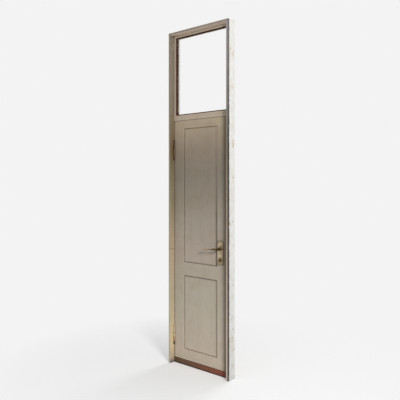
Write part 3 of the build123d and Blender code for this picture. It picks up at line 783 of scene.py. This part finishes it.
# Worn red-brown hardwood: open pores along the board, redder towards its lock side, where feet
# have scoured it
def worn_hardwood(name):
    material, tree, shader = new_material(name)
    place = add_node(tree, "ShaderNodeTexCoord").outputs["Object"]
    split = add_node(tree, "ShaderNodeSeparateXYZ", {0: place})
    scoured = add_node(
        tree,
        "ShaderNodeMapRange",
        {"Value": split.outputs["X"], "From Min": -jamb_inner_x, "From Max": jamb_inner_x},
    )
    tone = add_node(
        tree,
        "ShaderNodeValToRGB",
        {"Fac": scoured.outputs[0]},
        stops=((0.0, "#56422B"), (0.35, "#68452E"), (0.7, "#78432C"), (1.0, "#843A25")),
    )
    # Real pores are finer; these are drawn 3 mm apart and 80 mm long so that they show
    lines = add_node(tree, "ShaderNodeMapping", {"Vector": place, "Scale": (12, 300, 300)})
    grain = add_node(
        tree,
        "ShaderNodeTexNoise",
        {"Vector": lines.outputs[0], "Scale": 1.0, "Detail": 6, "Roughness": 0.7},
    )
    pore = add_node(
        tree,
        "ShaderNodeMapRange",
        {
            "Value": grain.outputs["Fac"],
            "From Min": 0.25,
            "From Max": 0.75,
            "To Min": 0.6,
            "To Max": 1.3,
        },
    )
    figured = add_node(
        tree,
        "ShaderNodeMix",
        {0: 1.0, 6: tone.outputs[0], 7: pore.outputs[0]},
        data_type="RGBA",
        blend_type="MULTIPLY",
    )
    # Mop water leaves a dark line along the foot, solid for 6 mm and gone at 14 mm
    low = add_node(
        tree,
        "ShaderNodeMapRange",
        {
            "Value": split.outputs["Z"],
            "From Min": 0.006,
            "From Max": 0.014,
            "To Min": 0.85,
            "To Max": 0.0,
        },
    )
    grimy = add_node(
        tree,
        "ShaderNodeMix",
        {0: low.outputs[0], 6: figured.outputs[2], 7: srgb("#241710")},
        data_type="RGBA",
    )
    tree.links.new(grimy.outputs[2], shader.inputs["Base Color"])
    shader.inputs["Roughness"].default_value = 0.6
    pores = add_node(
        tree,
        "ShaderNodeBump",
        {"Strength": 0.5, "Distance": 0.0005, "Height": grain.outputs["Fac"]},
    )
    tree.links.new(pores.outputs[0], shader.inputs["Normal"])
    return material


threshold_wood = worn_hardwood("worn_hardwood_threshold")


# Cast brass, handled for years: brown tarnish in dull spots, with paler, glossier metal between
def aged_brass(name, tarnish, middle, rubbed, rough=(0.55, 0.35)):
    material, tree, shader = new_material(name)
    place = add_node(tree, "ShaderNodeTexCoord").outputs["Object"]
    # Tarnish blooms in spots some 14 mm across
    bloom = add_node(
        tree, "ShaderNodeTexNoise", {"Vector": place, "Scale": 70, "Detail": 5, "Roughness": 0.6}
    )
    tone = add_node(
        tree,
        "ShaderNodeValToRGB",
        {"Fac": bloom.outputs["Fac"]},
        stops=((0.3, tarnish), (0.5, middle), (0.75, rubbed)),
    )
    tree.links.new(tone.outputs[0], shader.inputs["Base Color"])
    gloss = add_node(
        tree,
        "ShaderNodeMapRange",
        {
            "Value": bloom.outputs["Fac"],
            "From Min": 0.3,
            "From Max": 0.7,
            "To Min": rough[0],
            "To Max": rough[1],
        },
    )
    tree.links.new(gloss.outputs[0], shader.inputs["Roughness"])
    scuffs = add_node(tree, "ShaderNodeTexNoise", {"Vector": place, "Scale": 600, "Detail": 2})
    pitted = add_node(
        tree,
        "ShaderNodeBump",
        {"Strength": 0.2, "Distance": 0.0002, "Height": scuffs.outputs["Fac"]},
    )
    tree.links.new(pitted.outputs[0], shader.inputs["Normal"])
    shader.inputs["Metallic"].default_value = 1
    return material, tree, shader, tone.outputs[0]


def rubbed_highlit_lever_brass(name):
    """The lever is nearly black at its root, and rubbed bright along the grip, partly a painted
    highlight.
    """
    material, tree, shader, tarnished = aged_brass(name, "#46361F", "#604B2E", "#7C6440")
    place = add_node(tree, "ShaderNodeTexCoord").outputs["Object"]
    split = add_node(tree, "ShaderNodeSeparateXYZ", {0: place})
    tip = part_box("front_lever")[0][0]
    grip = add_node(
        tree,
        "ShaderNodeMapRange",
        {
            "Value": split.outputs["X"],
            "From Min": tip + tarnished_from_tip,
            "From Max": tip + rubbed_highlit_from_tip,
        },
    )
    # The bright grip is rubbed metal and a painted highlight
    bright = add_node(
        tree,
        "ShaderNodeMix",
        {0: grip.outputs[0], 6: tarnished, 7: srgb("#A89679")},
        data_type="RGBA",
    )
    tree.links.new(bright.outputs[2], shader.inputs["Base Color"])
    return material


def rubbed_plate_brass(name):
    """The plate is rubbed pale, and browner towards the closing edge and round lever and key."""
    material, tree, shader, rubbed = aged_brass(name, "#A09074", "#BFAF94", "#D2C6AE")
    place = add_node(tree, "ShaderNodeTexCoord").outputs["Object"]
    split = add_node(tree, "ShaderNodeSeparateXYZ", {0: place})
    left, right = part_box("front_backplate")[0][0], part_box("front_backplate")[1][0]
    side = add_node(
        tree,
        "ShaderNodeMapRange",
        {
            "Value": split.outputs["X"],
            "From Min": (left + right) / 2,
            "From Max": right,
            "To Max": 0.8,
        },
    )
    # Its top, above the hand, is a little browner too
    top = add_node(
        tree,
        "ShaderNodeMapRange",
        {
            "Value": split.outputs["Z"],
            "From Min": lever_axis[1] + 0.01,
            "From Max": lever_axis[1] + 0.05,
            "To Max": 0.3,
        },
    )
    worn = add_node(
        tree, "ShaderNodeMath", {0: side.outputs[0], 1: top.outputs[0]}, operation="MAXIMUM"
    )
    # Brown rings: round the collar that the lever turns in, and where keys have missed their hole
    uneven = add_node(tree, "ShaderNodeTexNoise", {"Vector": place, "Scale": 90})
    ring_reach = (brown_ring_reach, brown_ring_reach)
    for centre in (lever_axis, plug_axis):
        ring = wear_mask(tree, split, centre, ring_reach, uneven.outputs["Fac"])
        ring = add_node(tree, "ShaderNodeMath", {0: ring, 1: 0.95}, operation="MULTIPLY")
        worn = add_node(
            tree, "ShaderNodeMath", {0: worn.outputs[0], 1: ring.outputs[0]}, operation="MAXIMUM"
        )
    shaded = add_node(
        tree, "ShaderNodeMix", {0: worn.outputs[0], 6: rubbed, 7: srgb("#5E4A2D")}, data_type="RGBA"
    )
    tree.links.new(shaded.outputs[2], shader.inputs["Base Color"])
    return material


brass = aged_brass("aged_cast_brass", "#5B4528", "#7E6540", "#A08660")[0]
plate_brass = rubbed_plate_brass("rubbed_plate_brass")
cylinder_brass = aged_brass("tarnished_cylinder_brass", "#3E3122", "#57462F", "#6E5A3C")[0]
plug_brass = aged_brass("worn_plug_brass", "#6E5B3F", "#8C7655", "#AB9570")[0]
# The hinge brass is dark with tarnish and with painted shade, where the knuckles sit in the joint
shaded_hinge_brass = aged_brass("tarnished_shaded_hinge_brass", "#33271A", "#4E3E2B", "#69553C")[0]
lever_brass = rubbed_highlit_lever_brass("rubbed_highlit_lever_brass")


# Mild steel with a film of oil: grey, with fine machining lines
def oiled_steel(name, code, metallic, roughness):
    material, tree, shader = new_material(name)
    place = add_node(tree, "ShaderNodeTexCoord").outputs["Object"]
    lines = add_node(tree, "ShaderNodeMapping", {"Vector": place, "Scale": (40, 900, 900)})
    fine = add_node(
        tree, "ShaderNodeTexNoise", {"Vector": lines.outputs[0], "Scale": 1.0, "Detail": 2}
    )
    shade = add_node(
        tree, "ShaderNodeMapRange", {"Value": fine.outputs["Fac"], "To Min": 0.85, "To Max": 1.1}
    )
    tone = add_node(
        tree,
        "ShaderNodeMix",
        {0: 1.0, 6: srgb(code), 7: shade.outputs[0]},
        data_type="RGBA",
        blend_type="MULTIPLY",
    )
    tree.links.new(tone.outputs[2], shader.inputs["Base Color"])
    shader.inputs["Metallic"].default_value = metallic
    shader.inputs["Roughness"].default_value = roughness
    return material


steel = oiled_steel("oiled_mild_steel", "#9A9893", 1, 0.35)
case_lacquer = oiled_steel("black_lacquered_steel", "#23211F", 0, 0.4)


# Float glass: clear and mirror smooth, so it shows what lies behind it and a faint reflection
glass, _, glass_shader = new_material("clear_float_glass")
glass_shader.inputs["Base Color"].default_value = srgb("#FFFFFF")
glass_shader.inputs["Roughness"].default_value = 0
glass_shader.inputs["IOR"].default_value = 1.52
glass_shader.inputs["Transmission Weight"].default_value = 1

# Setting blocks: black neoprene, matt
rubber, _, rubber_shader = new_material("black_neoprene")
rubber_shader.inputs["Base Color"].default_value = srgb("#1B1B1B")
rubber_shader.inputs["Roughness"].default_value = 0.8

hinge_pieces = [name for name in nodes if "_hinge_" in name]
# Paint covers the lower hinge, all but the finial at its foot
painted_hinge_pieces = [
    name
    for name in hinge_pieces if name.startswith("lower") and "foot" not in name
]
finishes = {
    hinge_jamb_paint: ("hinge_jamb",),
    lock_jamb_paint: ("lock_jamb",),
    head_paint: ("frame_head",),
    bar_paint: ("transom_bar", "head_stop", "head_filler"),
    stop_paint: ("hinge_side_stop", "lock_side_stop"),
    filler_paint: ("hinge_side_filler", "lock_side_filler"),
    threshold_wood: ("threshold",),
    hinge_stile_paint: ("hinge_stile",),
    lock_stile_paint: ("lock_stile",),
    upper_panel_paint: ("upper_panel",),
    lower_panel_paint: ("lower_panel",),
    rail_paint: ("top_rail", "lock_rail", "bottom_rail"),
    bead_level: ("foot_bead", "head_bead"),
    bead_upright: ("lock_side_bead", "hinge_side_bead"),
    glass: ("glass_pane",),
    rubber: ("setting_blocks",),
    steel: ("spindle", "follower", "lock_cam"),
    case_lacquer: ("lock_case",),
    plate_brass: ("front_backplate", "rear_backplate"),
    plug_brass: ("cylinder_plug",),
    lever_brass: ("front_lever", "rear_lever"),
    cylinder_brass: ("front_cylinder", "rear_cylinder", "front_plate_screws", "rear_plate_screws"),
    shaded_hinge_brass: [name for name in hinge_pieces if name not in painted_hinge_pieces],
    overpainted_hinge: painted_hinge_pieces,
}
finish_of = {name: material for material, names in finishes.items() for name in names}
for name, piece in nodes.items():
    piece.data.materials.clear()
    piece.data.materials.append(finish_of.get(name, brass))

# Threshold: both top arrises are rounded, and feet have hollowed the middle of the board by 3 mm
arris_radius = 0.004
wear_depth = 0.003
low, high = (Vector(corner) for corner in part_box("threshold"))
bpy.ops.object.select_all(action="DESELECT")
bpy.ops.mesh.primitive_cube_add(size=1, location=(low + high) / 2, scale=high - low)
worn_threshold = bpy.context.object
worn_threshold.name = "worn_threshold"
worn_threshold.data.name = "worn_threshold"
bpy.ops.object.transform_apply(location=True, rotation=True, scale=True)
bpy.ops.object.mode_set(mode="EDIT")
# Cut across into 27 lengths, so that the hollow can curve along the board
lengths = 27
board_length = high.x - low.x
for n in range(1, lengths):
    bpy.ops.mesh.select_all(action="SELECT")
    bpy.ops.mesh.bisect(plane_co=(low.x + board_length * n / lengths, 0, 0), plane_no=(1, 0, 0))
bpy.ops.mesh.select_all(action="DESELECT")
bpy.ops.mesh.select_mode(type="EDGE")
bpy.ops.object.mode_set(mode="OBJECT")
points = worn_threshold.data.vertices
for edge in worn_threshold.data.edges:
    ends = [points[n].co for n in edge.vertices]
    edge.select = all(end.z > high.z - 0.001 for end in ends) and abs(ends[0].x - ends[1].x) > 0.001
bpy.ops.object.mode_set(mode="EDIT")
bpy.ops.mesh.bevel(offset=arris_radius, segments=4, affect="EDGES")
bpy.ops.mesh.select_all(action="SELECT")
bpy.ops.mesh.normals_make_consistent(inside=False)
bpy.ops.object.mode_set(mode="OBJECT")
for point in worn_threshold.data.vertices:
    if point.co.z > (low.z + high.z) / 2:
        # Deepest in the middle of the doorway, and nothing at the jambs
        along = point.co.x / jamb_inner_x
        point.co.z -= wear_depth * max(0, 1 - along**2) ** 2
bpy.ops.object.shade_smooth_by_angle(angle=radians(30))
worn_threshold.data.materials.append(threshold_wood)
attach(worn_threshold, "frame")
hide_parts("threshold")

# Floor: pale and plain, fading into the pale surroundings with distance
bpy.ops.mesh.primitive_circle_add(vertices=96, radius=40, fill_type="NGON", location=(0, 0, 0))
floor = bpy.context.object
floor.name = "studio_floor"
floor_material, floor_tree, floor_shader = new_material("pale_floor")
floor_shader.inputs["Base Color"].default_value = srgb("#DADADA")
floor_shader.inputs["Roughness"].default_value = 0.9
# Seen directly, the floor is a little brighter than the lamps make it, and keeps its shadows
seen_floor = add_node(floor_tree, "ShaderNodeLightPath").outputs["Is Camera Ray"]
lift = add_node(floor_tree, "ShaderNodeMath", {0: seen_floor, 1: 0.22}, operation="MULTIPLY")
lift = add_node(
    floor_tree, "ShaderNodeEmission", {"Color": srgb("#FFFFFF"), "Strength": lift.outputs[0]}
)
near = add_node(floor_tree, "ShaderNodeAddShader", {0: floor_shader.outputs[0], 1: lift.outputs[0]})
floor_place = add_node(floor_tree, "ShaderNodeTexCoord").outputs["Object"]
distance = add_node(floor_tree, "ShaderNodeVectorMath", {0: floor_place}, operation="LENGTH")
fade = add_node(
    floor_tree,
    "ShaderNodeMapRange",
    {"Value": distance.outputs["Value"], "From Min": 0.2, "From Max": 1.9},
)
haze = add_node(floor_tree, "ShaderNodeEmission", {"Color": srgb("#F3F3F3"), "Strength": 1.0})
ground = add_node(
    floor_tree, "ShaderNodeMixShader", {0: fade.outputs[0], 1: near.outputs[0], 2: haze.outputs[0]}
)
floor_output = next(n for n in floor_tree.nodes if n.type == "OUTPUT_MATERIAL")
floor_tree.links.new(ground.outputs[0], floor_output.inputs["Surface"])
floor.data.materials.append(floor_material)

# World: even soft light, seen as a pale wall colour directly, in gloss and through glass
world = bpy.data.worlds.new("studio")
bpy.context.scene.world = world
world.use_nodes = True
sky = world.node_tree
sky.nodes.clear()
path = add_node(sky, "ShaderNodeLightPath")
seen = add_node(
    sky,
    "ShaderNodeMath",
    {0: path.outputs["Is Camera Ray"], 1: path.outputs["Is Glossy Ray"]},
    operation="MAXIMUM",
)
seen = add_node(
    sky,
    "ShaderNodeMath",
    {0: seen.outputs[0], 1: path.outputs["Is Transmission Ray"]},
    operation="MAXIMUM",
)
glow = add_node(sky, "ShaderNodeBackground", {"Color": srgb("#FFFFFF"), "Strength": 0.3})
wall = add_node(sky, "ShaderNodeBackground", {"Color": srgb("#F3F3F3"), "Strength": 1.0})
both = add_node(
    sky, "ShaderNodeMixShader", {0: seen.outputs[0], 1: glow.outputs[0], 2: wall.outputs[0]}
)
add_node(sky, "ShaderNodeOutputWorld", {"Surface": both.outputs[0]})


def soft_lamp(name, place, aim, size, power):
    """A square soft box that faces a point. It lights the door and isn't seen through the pane."""
    lamp_data = bpy.data.lights.new(name, "AREA")
    lamp_data.size = size
    lamp_data.energy = power
    lamp = bpy.data.objects.new(name, lamp_data)
    lamp.location = place
    lamp.rotation_euler = (Vector(aim) - Vector(place)).to_track_quat("-Z", "Y").to_euler()
    lamp.visible_transmission = False
    bpy.context.scene.collection.objects.link(lamp)


# The main light comes from the far right, from in front and above, as the jamb's shadow shows
soft_lamp("key_softbox", (5.84, -3.37, 3.6), (0, 0, 1.4), 1.25, 510)

# A weaker light behind keeps the far side readable and softens the shadow on the floor
soft_lamp("back_softbox", (-0.6, 5.6, 3.4), (0, 0, 1.2), 2.4, 150)
